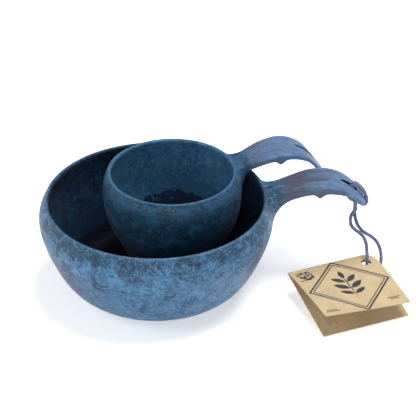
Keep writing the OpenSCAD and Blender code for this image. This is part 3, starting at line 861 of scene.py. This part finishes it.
def kraft_card(name, print_mask=None, shade=1.0):
    """Kraft card: a warm brown base, pale and dark fibres, fine grain, and ink where a print is given."""
    material, tree, shader = new_material(name)
    place = put(tree, "ShaderNodeTexCoord").outputs["Object"]
    flat = put(tree, "ShaderNodeUVMap", uv_map="flat").outputs[0]
    paper = lambda *levels: tone(*(shade * level for level in levels))
    fibres = use(tree, FIBRES, "Value", Vector=stretch_of(tree, place, (0.35, 1.0, 1.0), -TAG_TURN),
            Fineness=1500.0, Grain=0.8)
    cloud = noise_of(tree, place, 60.0, 3, 0.5)
    base = blend_of(tree, step_of(tree, cloud, 0.35, 0.65), paper(184, 163, 128), paper(193, 172, 136))
    base = blend_of(tree, step_of(tree, fibres, 0.02, 0.3, 0, 0.5), base, paper(165, 140, 100))
    base = blend_of(tree, step_of(tree, fibres, -0.04, -0.3, 0, 0.45), base, paper(210, 194, 160))
    flecks = use(tree, TORN, "Mask", Vector=place, Scale=1500.0, Tear=0.0006, Level=0.68, Edge=0.03)
    base = blend_of(tree, times(tree, flecks, 0.4), base, tone(120, 92, 60))
    if print_mask is not None:
        ink = print_mask(tree, flat)
        wear_and_highlight = step_of(tree, noise_of(tree, place, 1800.0, 3, 0.6), 0.28, 0.42, 0.55, 1.0)
        base = blend_of(tree, times(tree, ink, wear_and_highlight), base, tone(52, 53, 58))
    tree.links.new(base, shader.inputs["Base Color"])
    tree.links.new(step_of(tree, fibres, -0.3, 0.3, 0.72, 0.92), shader.inputs["Roughness"])
    tree.links.new(bump_of(tree, fibres, 0.00006), shader.inputs["Normal"])
    shader.inputs["Specular IOR Level"].default_value = 0.25
    return material


def placed_parts(tree, given):
    """The parts of a vector moved to a mark's middle and turned by its angle."""
    moved = vector_of(tree, "SUBTRACT", {0: given["Vector"], 1: given["Middle"]})
    turned = put(tree, "ShaderNodeVectorRotate", {"Vector": moved, "Angle": given["Angle"]},
            rotation_type="Z_AXIS").outputs[0]
    return put(tree, "ShaderNodeSeparateXYZ", {0: turned}).outputs


def leaf_mark():
    """A leaf shape: where |across| is under half width times (1 - (along / half length)^2), on a vector
    moved to the leaf's middle and turned to its angle."""
    tree, given, out = effect("leaf mark", "Mask", Vector=None, Middle=None, Angle=0.0, Half_Length=0.1,
            Half_Width=0.03)
    parts = placed_parts(tree, given)
    run = math_of(tree, "DIVIDE", parts[0], given["Half Length"])
    room = times(tree, given["Half Width"], minus(tree, 1.0, times(tree, run, run)))
    over = minus(tree, room, math_of(tree, "ABSOLUTE", parts[1]))
    tree.links.new(step_of(tree, over, -0.002, 0.002), out["Mask"])
    return tree


def box_mark():
    """A rectangle: 1 where the vector, moved and turned, is within half a width and half a height of zero."""
    tree, given, out = effect("box mark", "Mask", Vector=None, Middle=None, Angle=0.0, Half_Width=0.1,
            Half_Height=0.1)
    parts = placed_parts(tree, given)
    sides = [minus(tree, given[size], math_of(tree, "ABSOLUTE", parts[k])) for k,
            size in ((0, "Half Width"), (1, "Half Height"))]
    tree.links.new(step_of(tree, math_of(tree, "MINIMUM", *sides), -0.002, 0.002), out["Mask"])
    return tree


LEAF, BOX = leaf_mark(), box_mark()


def box_of(tree, flat, middle, half_width, half_height, angle=0.0):
    return use(tree, BOX, "Mask", Vector=flat, Middle=middle, Angle=angle, Half_Width=half_width,
            Half_Height=half_height)


def either(tree, masks):
    total = masks[0]
    for mask in masks[1:]:
        total = math_of(tree, "MAXIMUM", total, mask)
    return total


def cover_print(tree, flat):
    """The cover's print, generic throughout: a sprig of leaves in a double diamond border, a square of
    random cells near the crease's left end, and short bars."""
    middle = (0.50, 0.47, 0)
    frames = []
    for outer, inner in ((0.338, 0.318), (0.302, 0.290)):
        a = box_of(tree, flat, middle, outer, outer, math.pi / 4)
        b = box_of(tree, flat, middle, inner, inner, math.pi / 4)
        frames.append(minus(tree, a, b, True))
    leaves = [use(tree, LEAF, "Mask", Vector=flat, Middle=(0.50 + x, 0.47 + y, 0),
            Angle=-math.radians(turn), Half_Length=length, Half_Width=width) for x, y, turn, length,
            width in ((0, -0.005, 90, 0.235, 0.007), (0, -0.21, 90, 0.075, 0.030),
            (0.075, -0.12, -40, 0.085, 0.034), (-0.075, -0.12, 220, 0.085, 0.034),
            (0.085, 0.0, -35, 0.095, 0.037), (-0.085, 0.0, 215, 0.095, 0.037),
            (0.075, 0.115, -30, 0.08, 0.030), (-0.075, 0.115, 210, 0.08, 0.030))]
    cells = put(tree, "ShaderNodeVectorMath", {0: vector_of(tree, "SCALE", {0: flat, "Scale": 60.0})},
            operation="FLOOR").outputs[0]
    random = put(tree, "ShaderNodeTexWhiteNoise", {"Vector": cells}, noise_dimensions="2D").outputs[0]
    block = box_of(tree, flat, (0.135, 0.145, 0), 0.085, 0.085)
    block = times(tree, block, step_of(tree, random, 0.42, 0.48))
    bars = [box_of(tree, flat, (x, y, 0), w, 0.006) for x, y, w in ((0.86, 0.80, 0.07), (0.86, 0.825, 0.05),
            (0.12, 0.84, 0.06), (0.12, 0.865, 0.08))]
    return either(tree, frames + leaves + [block] + bars)


def inner_print(tree, flat):
    """Faint short bars, in a few blocks, in the place of small print."""
    rows = [box_of(tree, flat, (0.12 + 0.03 * k, y, 0), 0.006, w * (1 - 0.2 * (k % 3))) for y,
            w in ((0.20, 0.10), (0.48, 0.12), (0.74, 0.08)) for k in range(4)]
    return times(tree, either(tree, rows), 0.35)


def hang_tag():
    """Two leaves and the fold between them, in place of the plain card solids."""
    plain, edge = kraft_card("kraft_plain"), kraft_card("kraft_cut_edge", shade=0.9)
    cover, inner = kraft_card("kraft_cover", cover_print), kraft_card("kraft_inner", inner_print)
    upper = card_leaf("cover_leaf", True, UPPER_PITCH, UPPER_TWIST, 0.3, 0.55, [cover, plain, edge])
    lower = card_leaf("back_leaf", False, LOWER_PITCH, 0.0, 0.0, -0.25, [inner, plain, edge])
    fold = card_fold("tag_fold", [plain])
    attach(upper, "tag_cover")
    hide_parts("tag_upper")
    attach(lower, "hang_tag")
    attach(fold, "hang_tag")
    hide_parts("tag_lower")


# ---------- finishes of the two vessels ----------

# In the bowl the inner tones are painted shade, near black.
BOWL_LOOK = dict(axis_at=(0, 0, 0), handle_turn=0.0, patch_scale=92.0, blue_level=0.42, rim_band=0.16,
        veins=0.62, marble=0.75, hairs=0.55, slate=tone(32, 59, 86), teal=tone(22, 58, 82),
        blue=tone(48, 94, 130), pale=tone(76, 124, 158), deep=tone(14, 34, 52), inner_dark=tone(4, 16, 30),
        inner_blue=tone(12, 42, 66), inner_pale=tone(38, 80, 112), inner_deep=tone(4, 12, 27),
        grip_grey=tone(64, 67, 88), grip_blue=tone(84, 118, 152), grip_dark=tone(42, 46, 66),
        handle_blue=(0.1, 0.85), violet_low_sides=tone(70, 72, 98), violet_low_sides_from=(0.045, 0.062), floor_shadow_line=0.2,
        floor_shadow_tear=0.05, wear_and_highlight=tone(88, 116, 148), rough=0.56)
CUP_LOOK = dict(axis_at=CUP["at"], handle_turn=-CUP["turn"], patch_scale=96.0, blue_level=0.55,
        rim_band=-0.1, veins=0.55, marble=0.5, hairs=0.4, slate=tone(16, 48, 74), teal=tone(13, 54, 76),
        blue=tone(32, 78, 110), pale=tone(44, 94, 128), deep=tone(7, 24, 40), inner_dark=tone(38, 82, 112),
        inner_blue=tone(50, 100, 136), inner_pale=tone(74, 124, 158), inner_deep=tone(18, 32, 62),
        grip_grey=tone(70, 80, 106), grip_blue=tone(80, 108, 142), grip_dark=tone(48, 56, 82),
        handle_blue=(0.0, 0.5), violet_low_sides=tone(30, 48, 78), violet_low_sides_from=(0.034, 0.045), floor_shadow_line=0.38,
        floor_shadow_tear=0.5, wear_and_highlight=tone(58, 94, 132), rough=0.52)


def vessels():
    bowl = vessel_with_handle("bowl_shell", BOWL, moulded_fibre("bowl_fibre", BOWL_LOOK))
    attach(bowl, "bowl")
    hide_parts("bowl")
    cup = vessel_with_handle("cup_shell", CUP, moulded_fibre("cup_fibre", CUP_LOOK))
    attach(cup, "cup")
    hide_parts("cup")


vessels()
hang_tag()


# ---------- floor and light ----------

def studio():
    """A white floor and soft light: a broad key from the right and above, weak fills, and a sky that is
    brighter near the horizon than overhead."""
    material, tree, shader = new_material("studio_floor")
    shader.inputs["Base Color"].default_value = (0.93, 0.93, 0.94, 1)
    shader.inputs["Roughness"].default_value = 0.9
    shader.inputs["Specular IOR Level"].default_value = 0.1
    shader.inputs["Emission Color"].default_value = (1, 1, 1, 1)
    shader.inputs["Emission Strength"].default_value = 0.4
    mesh = bpy.data.meshes.new("floor")
    mesh.from_pydata([(-4, -4, 0), (4, -4, 0), (4, 4, 0), (-4, 4, 0)], [], [(0, 1, 2, 3)])
    mesh.materials.append(material)
    floor = bpy.data.objects.new("floor", mesh)
    bpy.context.scene.collection.objects.link(floor)

    world = bpy.data.worlds.new("studio")
    world.use_nodes = True
    sky = world.node_tree
    sky.nodes.clear()
    up = put(sky, "ShaderNodeSeparateXYZ",
            {0: put(sky, "ShaderNodeTexCoord").outputs["Generated"]}).outputs[2]
    strength = step_of(sky, up, 0.02, 0.6, 0.95, 0.22)
    light = put(sky, "ShaderNodeBackground", {"Color": (0.97, 0.98, 1.0, 1), "Strength": strength})
    sky.links.new(light.outputs[0], sky.nodes.new("ShaderNodeOutputWorld").inputs[0])
    bpy.context.scene.world = world

    for name, at, aim, size, power in (("key", (0.45, 0.15, 1.55), (0.02, 0, 0.03), 0.95, 27.0),
            ("left_fill", (-1.3, -0.1, 0.9), (0.02, 0, 0.03), 1.0, 8.0),
            ("front_fill", (-0.3, -1.6, 0.75), (0.02, 0, 0.03), 1.1, 9.0)):
        lamp = bpy.data.lights.new(name, "AREA")
        lamp.shape, lamp.size, lamp.energy = "DISK", size, power
        holder = bpy.data.objects.new(name, lamp)
        holder.location = at
        holder.rotation_euler = (Vector(aim) - Vector(at)).to_track_quat("-Z", "Y").to_euler()
        bpy.context.scene.collection.objects.link(holder)
    bpy.context.scene.view_settings.view_transform = "Standard"


studio()
